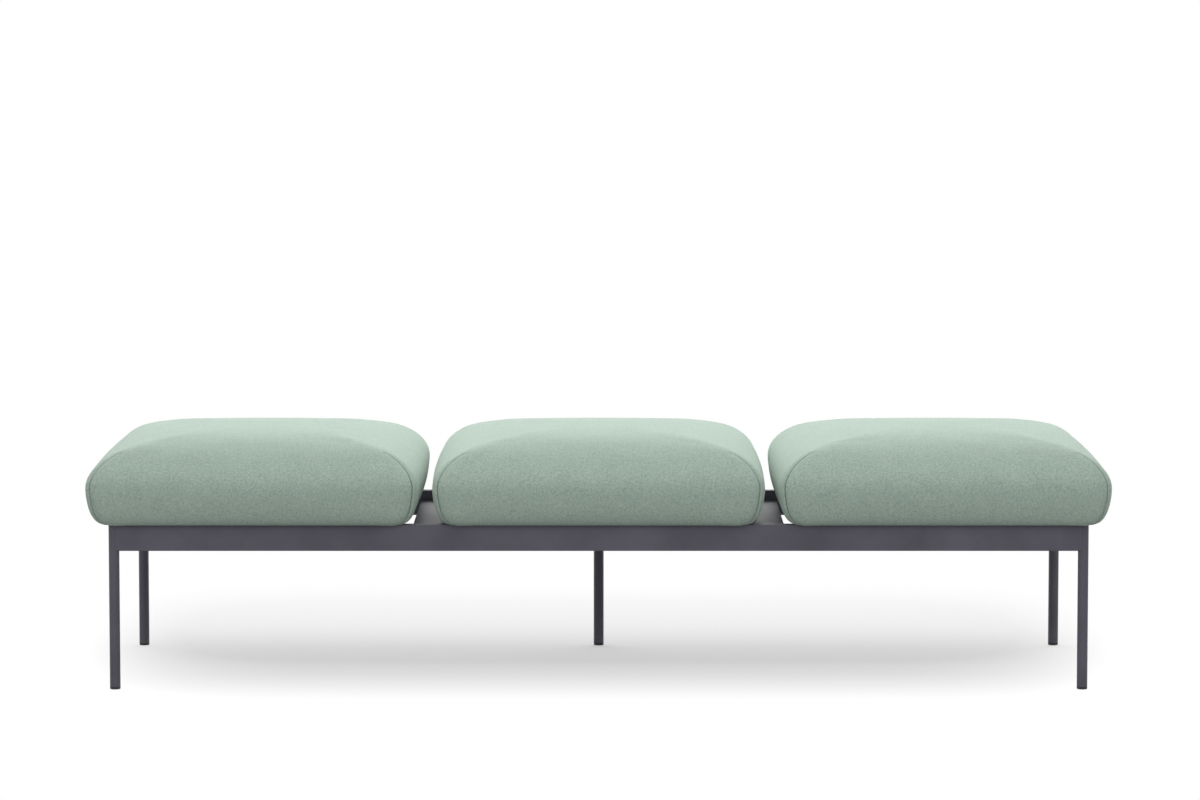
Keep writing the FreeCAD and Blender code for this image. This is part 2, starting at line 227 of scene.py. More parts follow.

# %% [markdown]
# The seats are covered in a milled wool felt. Close up it is a mat of fibres in several greens, and
# from a step away the fibres blend into a soft, slightly mottled sage. A picture of felt would show
# its repeats, so noise of several sizes mixes the tones instead, and the same noise lifts the nap. The
# ranges below say which part of a noise counts, and how strongly it then tints the felt. Along the sunk
# dart seams the felt is darkened as well: painted shade for the shadow in their groove.

# %% Felt of the seat covers
FELT_DARK = colour(117, 141, 126)
FELT_MIDDLE = colour(184, 205, 191)
FELT_LIGHT = colour(225, 241, 230)
# Painted shade: the colour of the shadow in the sunk dart seams.
SEAM_PAINTED_SHADE = colour(40, 52, 46)
FIBRE_SCALE, FIBRE_STRETCH, FIBRE_TURN = 620, (1, 2.6, 2.6), (0.4, 0.3, 0.6)
CROSSING_SCALE, CROSSING_STRETCH, CROSSING_TURN = 560, (2.6, 1, 2.6), (-0.5, 0.2, -0.4)
FIBRE_DETAIL = (3, 0.65)
TUFT_SCALE = 290
FLECK_SCALE = 1150
CLOUD_SCALE = 24
FIBRE_SHARE = 0.45
FIBRE_RANGE = (0.34, 0.66)
TUFT_SHADE = (0.30, 0.50, 0.34, 0.0)
TUFT_LIGHT = (0.52, 0.72, 0.0, 0.30)
FLECK_LIGHT = (0.62, 0.74, 0.0, 0.30)
CLOUD_SHADE = (0.35, 0.75, 0.0, 0.10)
SEAM_PAINTED_SHADE_RANGE = (0.15, 0.65, 0.0, 0.9)
FELT_ROUGHNESS = (0.3, 0.7, 0.86, 0.98)
NAP_HEIGHT = 0.0011


def felt():
    finish = Finish("seat_felt")
    place = finish.place()
    fibres = finish.noise(finish.stretched(FIBRE_STRETCH, FIBRE_TURN), FIBRE_SCALE, *FIBRE_DETAIL)
    crossing = finish.noise(finish.stretched(CROSSING_STRETCH, CROSSING_TURN), CROSSING_SCALE, *FIBRE_DETAIL)
    tufts = finish.noise(place, TUFT_SCALE)
    flecks = finish.noise(place, FLECK_SCALE, 1)
    clouds = finish.noise(place, CLOUD_SCALE, 3)
    mat = fibres * 0.5 + crossing * 0.5
    tone = finish.mix(finish.between(mat, *FIBRE_RANGE), FELT_DARK, FELT_LIGHT)
    tone = finish.mix(FIBRE_SHARE, FELT_MIDDLE, tone)
    tone = finish.mix(finish.between(tufts, *TUFT_SHADE), tone, FELT_DARK)
    tone = finish.mix(finish.between(tufts, *TUFT_LIGHT), tone, FELT_LIGHT)
    tone = finish.mix(finish.between(flecks, *FLECK_LIGHT), tone, FELT_LIGHT)
    tone = finish.mix(finish.between(clouds, *CLOUD_SHADE), tone, FELT_DARK)
    # Painted shade: the felt is darkened along the sunk dart seams, where the groove lies in shadow.
    seam = finish.node("ShaderNodeAttribute", {"attribute_name": "painted_seam_shade"}, output="Fac")
    tone = finish.mix(finish.between(seam, *SEAM_PAINTED_SHADE_RANGE), tone, SEAM_PAINTED_SHADE)
    nap = mat * 0.5 + flecks * 0.2 + tufts * 0.3
    return finish.finish(
        Base_Color=tone,
        Roughness=finish.between(mat, *FELT_ROUGHNESS),
        Specular_IOR_Level=0.15,
        Sheen_Weight=0.45,
        Sheen_Roughness=0.6,
        Sheen_Tint=FELT_LIGHT,
        Normal=finish.bump(nap, NAP_HEIGHT, 0.8),
    )


felt_material = felt()
print("felt nodes:", len(felt_material.node_tree.nodes))

# %% [markdown]
# The frame is powder coated in anthracite with a trace of violet. Powder flows out to a skin with a
# fine orange peel and a satin gloss, and it collects a little dust, so the roughness wanders slowly.

# %% Powder coat of the frame
COAT_DARK = colour(91, 89, 100)
COAT_LIGHT = colour(107, 105, 116)
PEEL_SCALE = 900
GRIT_SCALE = 2600
DUST_SCALE = 11
DUST_RANGE = (0.3, 0.7)
GRIT_LIGHT = (0.6, 0.75, 0.0, 0.25)
COAT_ROUGHNESS = (0.3, 0.7, 0.46, 0.60)
PEEL_HEIGHT = 0.0003


def powder_coat():
    finish = Finish("frame_powder_coat")
    place = finish.place()
    peel = finish.noise(place, PEEL_SCALE)
    grit = finish.noise(place, GRIT_SCALE, 1)
    dust = finish.noise(place, DUST_SCALE, 4)
    tone = finish.mix(finish.between(dust, *DUST_RANGE), COAT_DARK, COAT_LIGHT)
    tone = finish.mix(finish.between(grit, *GRIT_LIGHT), tone, COAT_LIGHT)
    return finish.finish(
        Base_Color=tone,
        Roughness=finish.between(peel * 0.6 + dust * 0.4, *COAT_ROUGHNESS),
        Specular_IOR_Level=0.3,
        Normal=finish.bump(peel, PEEL_HEIGHT, 0.5),
    )


coat_material = powder_coat()
print("powder coat nodes:", len(coat_material.node_tree.nodes))

# %% [markdown]
# The seat boards are raw birch plywood. Its face has long fine grain along the seat, so the noise is
# stretched in one direction, and its edge shows the plies as bands, which a wave texture gives.

# %% Plywood of the seat boards
PLY_LIGHT = colour(222, 196, 155)
PLY_DARK = colour(190, 155, 112)
GRAIN_STRETCH = (6, 190, 60)
GRAIN_DETAIL = (5, 0.6)
GRAIN_RANGE = (0.3, 0.75)
GRAIN_HEIGHT = 0.0004
PLY_BANDS = {"Scale": 105.0, "Distortion": 0.4}


def plywood():
    finish = Finish("birch_plywood")
    grain = finish.noise(finish.stretched(GRAIN_STRETCH), 1.0, *GRAIN_DETAIL)
    bands = {"wave_type": "BANDS", "bands_direction": "Z"}
    plies = finish.node("ShaderNodeTexWave", bands, {"Vector": finish.place(), **PLY_BANDS})
    tone = finish.mix(finish.between(grain * 0.75 + plies * 0.25, *GRAIN_RANGE), PLY_LIGHT, PLY_DARK)
    return finish.finish(Base_Color=tone, Roughness=0.62, Normal=finish.bump(grain, GRAIN_HEIGHT, 0.4))


plywood_material = plywood()
print("plywood nodes:", len(plywood_material.node_tree.nodes))

# %% [markdown]
# A black non-woven cloth closes each seat from below. It is pressed from loose fibres between rollers
# that leave a pattern of small dimples. A Voronoi texture with little randomness gives the dimples and
# fine noise the fibres. The same texture with full randomness is the open cell of the cut foam, which
# stays hidden inside the seat.

# %% Dust cloth and foam
CLOTH_BLACK = colour(26, 26, 28)
CLOTH_GREY = colour(44, 44, 47)
CLOTH_SCALE = 700
CLOTH_DETAIL = (4, 0.7)
CLOTH_RANGE = (0.35, 0.7)
DIMPLES = {"Scale": 420.0, "Randomness": 0.15}
FOAM_PALE = colour(236, 230, 206)
FOAM_DEEP = colour(214, 204, 172)
FOAM_CELLS = {"Scale": 650.0}
FOAM_RANGE = (0.1, 0.7)
DIMPLE_DEPTH = 0.0006


def cells(finish, sockets):
    """Distance from the middle of the nearest cell."""
    sockets = {"Vector": finish.place(), **sockets}
    return finish.node("ShaderNodeTexVoronoi", {"feature": "F1"}, sockets, output="Distance")


def dust_cloth():
    finish = Finish("black_dust_cloth")
    fibres = finish.noise(finish.place(), CLOTH_SCALE, *CLOTH_DETAIL)
    relief = cells(finish, DIMPLES) * 0.7 + fibres * 0.3
    tone = finish.mix(finish.between(fibres, *CLOTH_RANGE), CLOTH_BLACK, CLOTH_GREY)
    return finish.finish(
        Base_Color=tone,
        Roughness=0.93,
        Specular_IOR_Level=0.2,
        Normal=finish.bump(relief, DIMPLE_DEPTH, 0.6),
    )


def foam():
    finish = Finish("cut_foam")
    open_cells = cells(finish, FOAM_CELLS)
    tone = finish.mix(finish.between(open_cells, *FOAM_RANGE), FOAM_PALE, FOAM_DEEP)
    return finish.finish(Base_Color=tone, Roughness=0.95, Normal=finish.bump(open_cells, DIMPLE_DEPTH, 0.6))


cloth_material = dust_cloth()
foam_material = foam()
print("dust cloth nodes:", len(cloth_material.node_tree.nodes))

# %% [markdown]
# The glides are black nylon, scuffed where they slide over floors: noise that is squeezed along the
# height gives short level marks. Their stems and the screws are zinc plated, a metal whose roughness
# changes from grain to grain, with faint lines from the drawing of the wire.

# %% Nylon and zinc
NYLON_BLACK = colour(22, 22, 24)
NYLON_WORN = colour(52, 52, 55)
SCUFF_STRETCH = (40, 40, 260)
SCUFF_SCALE = 4.0
SCUFF_DETAIL = (4, 0.7)
SCUFF_WEAR = (0.55, 0.8, 0.0, 0.7)
NYLON_ROUGHNESS = (0.3, 0.8, 0.42, 0.66)
SCUFF_DEPTH = 0.0002
ZINC_DARK = colour(150, 152, 156)
ZINC_LIGHT = colour(206, 207, 209)
DRAWN_STRETCH = (900, 900, 60)
SPANGLE_SCALE = 340
ZINC_RANGE = (0.35, 0.65)
ZINC_ROUGHNESS = (0.3, 0.7, 0.28, 0.48)
DRAWN_DEPTH = 0.0001


def nylon():
    finish = Finish("black_nylon")
    scuffs = finish.noise(finish.stretched(SCUFF_STRETCH), SCUFF_SCALE, *SCUFF_DETAIL)
    return finish.finish(
        Base_Color=finish.mix(finish.between(scuffs, *SCUFF_WEAR), NYLON_BLACK, NYLON_WORN),
        Roughness=finish.between(scuffs, *NYLON_ROUGHNESS),
        Normal=finish.bump(scuffs, SCUFF_DEPTH, 0.3),
    )


def zinc():
    finish = Finish("zinc_plate")
    drawn = finish.noise(finish.stretched(DRAWN_STRETCH), 1.0, 3)
    spangle = finish.noise(finish.place(), SPANGLE_SCALE)
    tone = finish.mix(finish.between(drawn * 0.6 + spangle * 0.4, *ZINC_RANGE), ZINC_DARK, ZINC_LIGHT)
    return finish.finish(
        Base_Color=tone,
        Metallic=1.0,
        Roughness=finish.between(spangle, *ZINC_ROUGHNESS),
        Normal=finish.bump(drawn, DRAWN_DEPTH, 0.3),
    )


nylon_material = nylon()
zinc_material = zinc()
print("zinc nodes:", len(zinc_material.node_tree.nodes))

# %% [markdown]
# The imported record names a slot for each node. One table gives every slot its finish.

# %% Finishes on the nodes
SLOT_MATERIALS = {
    "frame_paint": coat_material,
    "seat_fabric": felt_material,
    "foam": foam_material,
    "plywood": plywood_material,
    "dust_cloth": cloth_material,
    "glide_nylon": nylon_material,
    "zinc_steel": zinc_material,
}
for subpart in frame["record"]["subparts"]:
    node = frame["nodes"][subpart["node"]]
    node.data.materials.clear()
    node.data.materials.append(SLOT_MATERIALS[subpart["material_slot"]])

# %% [markdown]
# A seat is a foam block on a board under one piece of felt. Its sizes come from the boxes of the packed
# cover and board, so the felt fits them without a second set of numbers.

# %% Seat sizes
SEATS = ("left", "middle", "right")
BOARD_LAYER = 0.002
SIDE_TUCK = 0.008


class Seat:
    """Sizes of one seat, as half sizes and heights in metres."""

    def __init__(self, name):
        self.name = name
        low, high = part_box(f"{name}_seat_cover")
        board_low, board_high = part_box(f"{name}_seat_board")
        self.centre = (low + high) / 2
        self.bottom = low.z
        self.rise = high.z - low.z
        self.wide = (high.x - low.x) / 2
        self.deep = (high.y - low.y) / 2
        self.board = (board_high - board_low) / 2
        self.board_top = board_high.z
        self.foot_wide = self.board.x + BOARD_LAYER - SIDE_TUCK
        self.foot_deep = self.board.y + BOARD_LAYER


seats = [Seat(name) for name in SEATS]
for seat in seats:
    print(seat.name, "half sizes", round(seat.wide, 4), round(seat.deep, 4), "rise", round(seat.rise, 4))

# %% [markdown]
# From the side a seat is a swollen shape: drawn in at the board, widest about half way up, then closing
# over in a flat crown. A sculpted mesh could follow that by eye. Two curves, one below and one above the
# widest line, follow it with a few sizes that could be fitted to the photograph.

# %% Seat profile
WIDEST_HEIGHT = 0.073
SHOULDER_POWER = 0.46
CROWN_POWER = 1.13
DART_TIP = 0.132
CREST_MIDDLE = 0.147
CREST_BEND = 2.6


def lower_profile(seat, angle):
    """Height and half sizes below the widest line, for an angle from -90 to 0 degrees."""
    swell = np.cos(angle)
    height = WIDEST_HEIGHT * (1 + np.sin(angle))
    half_wide = seat.foot_wide + (seat.wide - seat.foot_wide) * swell
    half_deep = seat.foot_deep + (seat.deep - seat.foot_deep) * swell
    return height, half_wide, half_deep


def upper_profile(seat, angle):
    """Height and half sizes above the widest line, for an angle from 0 to 90 degrees."""
    share = np.maximum(np.cos(angle), 0) ** SHOULDER_POWER
    height = WIDEST_HEIGHT + (seat.rise - WIDEST_HEIGHT) * np.sin(angle) ** CROWN_POWER
    return height, seat.wide * share, seat.deep * share


def profile(seat, angle):
    lower = lower_profile(seat, np.minimum(angle, 0))
    upper = upper_profile(seat, np.maximum(angle, 0))
    return [np.where(angle < 0, below, above) for below, above in zip(lower, upper)]


def crest(seat, along):
    """Angle of the upper edge of the side band: low at the dart tips, high between them."""
    height = DART_TIP + (CREST_MIDDLE - DART_TIP) * (1 - np.abs(along) ** CREST_BEND)
    lift = (height - WIDEST_HEIGHT) / (seat.rise - WIDEST_HEIGHT)
    return np.arcsin(lift ** (1 / CROWN_POWER))


print("crest from", *np.degrees(crest(seats[0], np.array((1, 0)))).round(1), "degrees")

# %% [markdown]
# Seen from above each level of a seat is a rectangle with round corners. The corners are tighter at the
# crown than at the bottom, and the sides bow out a little between them, as stuffed felt does.

# %% Seat outline
CORNER_CHANGE = 4
CROWN_CORNER = 0.014
BOTTOM_CORNER = 0.030
LARGEST_CORNER = 0.8
SIDE_BOW = 0.006
BOW_PROUD = 0.55
BOW_START = 0.04
TINY = 1e-6
SIDE_RUNS = np.array(((1, 0), (0, 1), (-1, 0), (0, -1)))
SIDE_NORMALS = np.array(((0, -1), (1, 0), (0, 1), (-1, 0)))


def corner_radius(seat, height, half_wide, half_deep):
    share = np.clip(height / seat.rise, 0, 1) ** CORNER_CHANGE
    radius = BOTTOM_CORNER + (CROWN_CORNER - BOTTOM_CORNER) * share
    return np.minimum(radius, LARGEST_CORNER * np.minimum(half_wide, half_deep))


def form_points(seat, side, along, angle):
    """Points on the form: side 0 is the front and they count anticlockwise, along runs from -1 to 1."""
    height, half_wide, half_deep = profile(seat, angle)
    corner = corner_radius(seat, height, half_wide, half_deep)
    facing_y = side % 2 == 0
    straight = np.where(facing_y, half_wide, half_deep) - corner
    reach = np.where(facing_y, half_deep, half_wide)
    length = np.abs(along) * (straight + corner * math.pi / 4)
    turn = np.maximum(length - straight, 0) / np.maximum(corner, TINY)
    sideways = np.sign(along) * (np.minimum(length, straight) + corner * np.sin(turn))
    outwards = reach - corner * (1 - np.cos(turn))
    x, y = (SIDE_RUNS[side] * sideways[:, None] + SIDE_NORMALS[side] * outwards[:, None]).T
    bow = SIDE_BOW * np.clip(height / BOW_START, 0, 1)
    across = x / np.maximum(half_wide, TINY)
    through = y / np.maximum(half_deep, TINY)
    x = x * (1 + bow / seat.wide * (BOW_PROUD - through**2))
    y = y * (1 + bow / seat.deep * (BOW_PROUD - across**2))
    return np.column_stack((seat.centre.x + x, seat.centre.y + y, seat.bottom + height))


print("front middle:", form_points(seats[0], np.array([0]), np.zeros(1), np.zeros(1)).round(4).tolist())

# %% [markdown]
# At each corner the felt is taken in with a dart: a seam that climbs from the bottom edge, bows out with
# the side and ends in a tip below the crown. The mesh is laid out like the felt: a band round the sides,
# a grid over the top, and the dart seams as the upright corner lines of the band. So the seam is a row
# of edges, and not a groove cut afterwards.

# %% Points of the felt
CELLS_ACROSS = 60
CELLS_DEEP = 64
CELLS_UP = 15
SIDE_CELLS = (CELLS_ACROSS, CELLS_DEEP, CELLS_ACROSS, CELLS_DEEP)
COLUMNS = sum(SIDE_CELLS)
DART_COLUMNS = np.concatenate(([0], np.cumsum(SIDE_CELLS)[:-1]))
BAND_STEPS = 240


def band_points(seat):
    """Rows of points round the sides, evenly spaced along the felt from the bottom edge to the crest."""
    side = np.repeat(np.arange(4), SIDE_CELLS)
    along = np.concatenate([2 * np.arange(count) / count - 1 for count in SIDE_CELLS])
    share = np.linspace(0, 1, BAND_STEPS)
    angles = -math.pi / 2 + share[None, :] * (crest(seat, along)[:, None] + math.pi / 2)
    height, half_wide, _ = profile(seat, angles)
    step = np.hypot(np.diff(height, axis=1), np.diff(half_wide, axis=1))
    length = np.concatenate((np.zeros((COLUMNS, 1)), np.cumsum(step, axis=1)), axis=1)
    rows = []
    for row in range(CELLS_UP + 1):
        wanted = length[:, -1] * row / CELLS_UP
        angle = np.array([np.interp(w, track, turn) for w, track, turn in zip(wanted, length, angles)])
        rows.append(form_points(seat, side, along, angle))
    return rows


def top_points(seat):
    """Points of the grid over the top, inside the crest."""
    across, through = np.meshgrid(
        2 * np.arange(1, CELLS_ACROSS) / CELLS_ACROSS - 1,
        2 * np.arange(1, CELLS_DEEP) / CELLS_DEEP - 1,
        indexing="ij",
    )
    across, through = across.ravel(), through.ravel()
    ring = np.maximum(np.maximum(np.abs(across), np.abs(through)), TINY)
    facing_y = np.abs(through) >= np.abs(across)
    side = np.where(facing_y, np.where(through < 0, 0, 2), np.where(across > 0, 1, 3))
    run = np.where(facing_y, across, through) / ring
    run = np.where((side == 2) | (side == 3), -run, run)
    edge_share = np.cos(crest(seat, run)) ** SHOULDER_POWER
    angle = np.arccos(np.clip(ring * edge_share, 0, 1) ** (1 / SHOULDER_POWER))
    return form_points(seat, side, run, angle)


felt_points = {seat.name: np.vstack(band_points(seat) + [top_points(seat)]) for seat in seats}
print("points of one seat:", len(felt_points["left"]))


# %% Faces of the felt
def top_index(i, k):
    """Number of a point of the top grid, whose outer points are the upper row of the band."""
    if k == 0:
        return CELLS_UP * COLUMNS + i
    if i == CELLS_ACROSS:
        return CELLS_UP * COLUMNS + CELLS_ACROSS + k
    if k == CELLS_DEEP:
        return CELLS_UP * COLUMNS + 2 * CELLS_ACROSS + CELLS_DEEP - i
    if i == 0:
        return CELLS_UP * COLUMNS + COLUMNS - k
    return (CELLS_UP + 1) * COLUMNS + (i - 1) * (CELLS_DEEP - 1) + k - 1


def round_faces(rows, columns):
    """Faces of a tube of points: rows of cells above each other, closed round."""
    faces = []
    for low in range(0, rows * columns, columns):
        high = low + columns
        for column in range(columns):
            after = (column + 1) % columns
            faces.append((low + column, low + after, high + after, high + column))
    return faces


felt_faces = round_faces(CELLS_UP, COLUMNS)
for i in range(CELLS_ACROSS):
    for k in range(CELLS_DEEP):
        corners = ((i, k), (i + 1, k), (i + 1, k + 1), (i, k + 1))
        felt_faces.append(tuple(top_index(*corner) for corner in corners))
print("faces of one seat:", len(felt_faces))


# %% Felt laid over the seats
def mesh_object(name, points, faces):
    mesh = bpy.data.meshes.new(name)
    mesh.from_pydata([tuple(point) for point in points], [], faces)
    mesh.update()
    piece = bpy.data.objects.new(name, mesh)
    scene.collection.objects.link(piece)
    return piece


def number_layer(mesh, name, values):
    layer = mesh.attributes.get(name) or mesh.attributes.new(name, "FLOAT", "POINT")
    layer.data.foreach_set("value", np.asarray(values, np.float32))


def lay_felt(seat):
    """The felt as a mesh, with its dart seams marked: each turns in by one cell at its tip."""
    piece = mesh_object(f"{seat.name}_seat", felt_points[seat.name], felt_faces)
    dart = np.zeros(len(piece.data.vertices))
    for column, inwards in zip(DART_COLUMNS, (1, -1, 1, -1)):
        dart[np.arange(CELLS_UP + 1) * COLUMNS + column] = 1.0
        dart[CELLS_UP * COLUMNS + column + inwards] = 1.0
    number_layer(piece.data, "dart", dart)
    return piece


seat_pieces = [lay_felt(seat) for seat in seats]
print("felt laid:", [piece.name for piece in seat_pieces])

# %% [markdown]
# Foam pushes the felt out between the places where it is held: the dart seams and the hem under the
# board. Blender's Cloth does that with pressure. The felt starts a little inside its form, is held at
# the seams and at the bottom edge, and swells for twenty frames. A cap keeps any point from going
# further than a real cover could stretch, and where the felt is drawn tight it lies on the foam.

# %% Holding the felt
START_INSIDE = 0.004
HOLD_REACH = 3
HOLD_ROWS = 0.93


def vertex_rows(mesh, what):
    """A place or a normal for every point of a mesh, as rows of numbers."""
    flat = np.zeros(len(mesh.vertices) * 3)
    mesh.vertices.foreach_get(what, flat)
    return flat.reshape(-1, 3)


def put(mesh, points):
    mesh.vertices.foreach_set("co", np.asarray(points, float).ravel())
    mesh.update()


def grip_of_felt():
    """How firmly each point is held: 1 at the hem and the dart seams, less beside them and at the tips."""
    held = np.zeros(len(felt_points["left"]))
    held[: 2 * COLUMNS] = 1.0
    for dart in DART_COLUMNS:
        for row in range(CELLS_UP + 1):
            grip = np.clip((1 - row / CELLS_UP) / (1 - HOLD_ROWS), 0, 1)
            for offset in range(1 - HOLD_REACH, HOLD_REACH):
                index = row * COLUMNS + (dart + offset) % COLUMNS
                held[index] = max(held[index], grip * (1 - abs(offset) / HOLD_REACH))
    return held


felt_held = grip_of_felt()
print("points held:", np.count_nonzero(felt_held))

# %% Swelling the felt
SWELL_FRAMES = 20
SWELL_PRESSURE = {"left": 4.0, "middle": 4.3, "right": 3.8}
SWELL_CAP = 0.022
FELT_SETTINGS = {
    "quality": 4,
    "mass": 0.3,
    "tension_stiffness": 15,
    "compression_stiffness": 15,
    "shear_stiffness": 5,
    "bending_stiffness": 0.8,
    "vertex_group_mass": "held",
    "pin_stiffness": 1.0,
    "use_pressure": True,
}


def simulate(piece, pressure):
    """Places of the felt after it has swelled under a pressure."""
    group = piece.vertex_groups.new(name=FELT_SETTINGS["vertex_group_mass"])
    for index in np.nonzero(felt_held)[0]:
        group.add([int(index)], float(felt_held[index]), "REPLACE")
    cloth = piece.modifiers.new("swell", "CLOTH")
    for key, value in FELT_SETTINGS.items():
        setattr(cloth.settings, key, value)
    cloth.settings.uniform_pressure_force = pressure
    cloth.settings.effector_weights.gravity = 0
    cloth.collision_settings.use_collision = False
    cloth.collision_settings.use_self_collision = False
    cloth.point_cache.frame_start = 1
    cloth.point_cache.frame_end = SWELL_FRAMES
    for number in range(1, SWELL_FRAMES + 1):
        scene.frame_set(number)
    shaped = piece.evaluated_get(bpy.context.evaluated_depsgraph_get())
    swollen = vertex_rows(shaped.data, "co")
    piece.modifiers.remove(cloth)
    scene.frame_set(1)
    return swollen


def swell(piece, seat):
    mesh = piece.data
    form = vertex_rows(mesh, "co")
    outward = vertex_rows(mesh, "normal")
    start = form - outward * START_INSIDE * (1 - felt_held)[:, None]
    put(mesh, start)
    move = simulate(piece, SWELL_PRESSURE[seat.name]) - start
    length = np.linalg.norm(move, axis=1, keepdims=True)
    swollen = start + move * np.minimum(1, SWELL_CAP / np.maximum(length, TINY))
    gap = ((swollen - form) * outward).sum(axis=1)
    put(mesh, swollen + outward * np.maximum(-gap, 0)[:, None])
    print(seat.name, "swelled, from", round(gap.min(), 4), "to", round(gap.max(), 4), "m off its form")


for piece, seat in zip(seat_pieces, seats):
    swell(piece, seat)

# %% [markdown]
# After the swelling the felt is divided once more, so that seams and folds have points to work with.
# The dart seams sink in along their edges, with a soft welt on both sides, and a few shallow folds run
# from each dart tip over the crown, where the felt is pulled towards the seam.

# %% Dividing the felt
ON_SEAM = 0.999


def divide(piece):
    """Catmull-Clark division, applied."""
    piece.modifiers.new("divide", "SUBSURF").levels = 1
    shaped = piece.evaluated_get(bpy.context.evaluated_depsgraph_get())
    mesh = bpy.data.meshes.new_from_object(shaped)
    piece.modifiers.clear()
    old, piece.data = piece.data, mesh
    bpy.data.meshes.remove(old)


def seam_points(mesh):
    values = np.zeros(len(mesh.vertices), np.float32)
    mesh.attributes["dart"].data.foreach_get("value", values)
    return vertex_rows(mesh, "co")[values > ON_SEAM]


dart_tips = []
for piece in seat_pieces:
    dart_tips.append(vertex_rows(piece.data, "co")[CELLS_UP * COLUMNS + DART_COLUMNS])
    divide(piece)
print("points on the seams of one seat:", len(seam_points(seat_pieces[0].data)))

# %% Welts and folds
WELT_HEIGHT = 0.0010
WELT_REACH = 0.009
WELT_END = 4 * WELT_REACH
FOLD_HEIGHT = 0.0002
FOLD_REACH = 0.060
FOLD_COUNT = 11.0
FOLD_BELOW_TIP = 0.004
FOLD_START = 0.02


def nearest(points, others):
    """Distance from each point to the nearest of some others."""
    tree = kdtree.KDTree(len(others))
    for index, other in enumerate(others):
        tree.insert(other, index)
    tree.balance()
    return np.array([tree.find(point)[2] for point in points])


def raise_felt(mesh, seam, tips):
    """Raise the welts beside the dart seams and the folds at their tips."""
    points = vertex_rows(mesh, "co")
    distance = nearest(points, seam)
    welt = WELT_HEIGHT * (distance / WELT_REACH) * np.exp(1 - distance / WELT_REACH)
    lift = np.where(distance < WELT_END, welt, 0.0)
    for tip in tips:
        away = points - tip
        radius = np.linalg.norm(away, axis=1)
        bearing = np.arctan2(away[:, 1], away[:, 0])
        over_top = np.clip((away[:, 2] + FOLD_BELOW_TIP) / FOLD_START, 0, 1)
        fade = np.exp(-radius / FOLD_REACH) * np.clip(radius / FOLD_START, 0, 1)
        lift += FOLD_HEIGHT * np.cos(FOLD_COUNT * bearing) * fade * over_top
    put(mesh, points + vertex_rows(mesh, "normal") * lift[:, None])
    return lift.max()


seams = [seam_points(piece.data) for piece in seat_pieces]
for piece, seam, tips in zip(seat_pieces, seams, dart_tips):
    print(piece.name, "raised by up to", round(raise_felt(piece.data, seam, tips), 5), "m")

# %% Sunk dart seams
SEAM_WIDTH = 0.0018
SEAM_DEPTH = 0.0036
SEAM_REACH = 0.9 * SEAM_WIDTH
TIP_FADE = 0.012
FADE_AT_TIP = 0.5


def sink_seams(mesh, seam, tips):
    """Split the felt along its dart seams and sink it there; the depth also masks the painted seam shade.
    The seam runs out at the tips.
    """
    work = bmesh.new()
    work.from_mesh(mesh)
    dart = work.verts.layers.float["dart"]
    edges = [edge for edge in work.edges if all(vert[dart] > ON_SEAM for vert in edge.verts)]
    bmesh.ops.bevel(work, geom=edges, offset=SEAM_WIDTH, segments=2, profile=0.5, affect="EDGES")
    work.to_mesh(mesh)
    work.free()
    mesh.update()
    points = vertex_rows(mesh, "co")
    in_seam = nearest(points, seam) < SEAM_REACH
    fade = np.clip((tips[:, 2].mean() - points[:, 2]) / TIP_FADE + FADE_AT_TIP, 0, 1)
    sunk = np.where(in_seam, fade, 0.0)
    put(mesh, points - vertex_rows(mesh, "normal") * (SEAM_DEPTH * sunk)[:, None])
    # How far each point sinks is also the mask of the painted shade in the seam.
    number_layer(mesh, "painted_seam_shade", sunk)
    return np.count_nonzero(sunk)


for piece, seam, tips in zip(seat_pieces, seams, dart_tips):
    print(piece.name, "points sunk:", sink_seams(piece.data, seam, tips))

# %% [markdown]
# Below, the felt is turned under the board and stapled, and the board closes the seat from inside. The
# piece stays a closed body: from the bottom edge it runs in to the hem, back out above the hem to the
# edge of the board and up round it, so the plywood sits in it without overlapping.

# %% Hem under the seats
FELT_THICK = 0.0018
BOARD_CLEARANCE = 0.0003
HEM_WIDTH = 0.024


def close_below(mesh, seat):
    work = bmesh.new()
    work.from_mesh(mesh)
    rim = [edge for edge in work.edges if edge.is_boundary]
    foot = Vector((seat.foot_wide, seat.foot_deep))
    board = Vector((seat.board.x + BOARD_CLEARANCE, seat.board.y + BOARD_CLEARANCE))
    hem = Vector((seat.board.x - HEM_WIDTH, seat.board.y - HEM_WIDTH))
    rings = (
        (hem, seat.bottom),
        (hem, seat.bottom + FELT_THICK),
        (board, seat.bottom + FELT_THICK),
        (board, seat.board_top + BOARD_CLEARANCE),
    )
    for half, height in rings:
        made = bmesh.ops.extrude_edge_only(work, edges=rim)["geom"]
        rim = [item for item in made if isinstance(item, bmesh.types.BMEdge)]
        for vert in {vert for edge in rim for vert in edge.verts}:
            x = (vert.co.x - seat.centre.x) / foot.x
            y = (vert.co.y - seat.centre.y) / foot.y
            vert.co = (seat.centre.x + x * half.x, seat.centre.y + y * half.y, height)
        foot = half
    bmesh.ops.contextual_create(work, geom=rim)
    bmesh.ops.recalc_face_normals(work, faces=work.faces)
    work.to_mesh(mesh)
    work.free()
    mesh.update()


for piece, seat in zip(seat_pieces, seats):
    close_below(piece.data, seat)
    piece.data.polygons.foreach_set("use_smooth", [True] * len(piece.data.polygons))
    piece.data.materials.append(felt_material)
    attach(piece, "frame")
    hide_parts(f"{seat.name}_seat_cover", f"{seat.name}_seat_foam")
print("seats:", [(piece.name, len(piece.data.vertices)) for piece in seat_pieces])

# %% [markdown]
# The hem is stapled to the board from below. Along the front and rear it lies on the rails, so only the
# rows at the sides of each seat show when the bench is tipped over. A staple shows as its crown alone,
# so each one is a short bar that is pressed a little into the felt.

# %% Staples
STAPLE_CROWN = 0.008
STAPLE_WIRE = 0.0012
STAPLE_PITCH = 0.042
STAPLE_INSET = 0.005
STAPLE_MARGIN = 0.050
STAPLE_SINK = 0.0004
STAPLE_FACES = 6


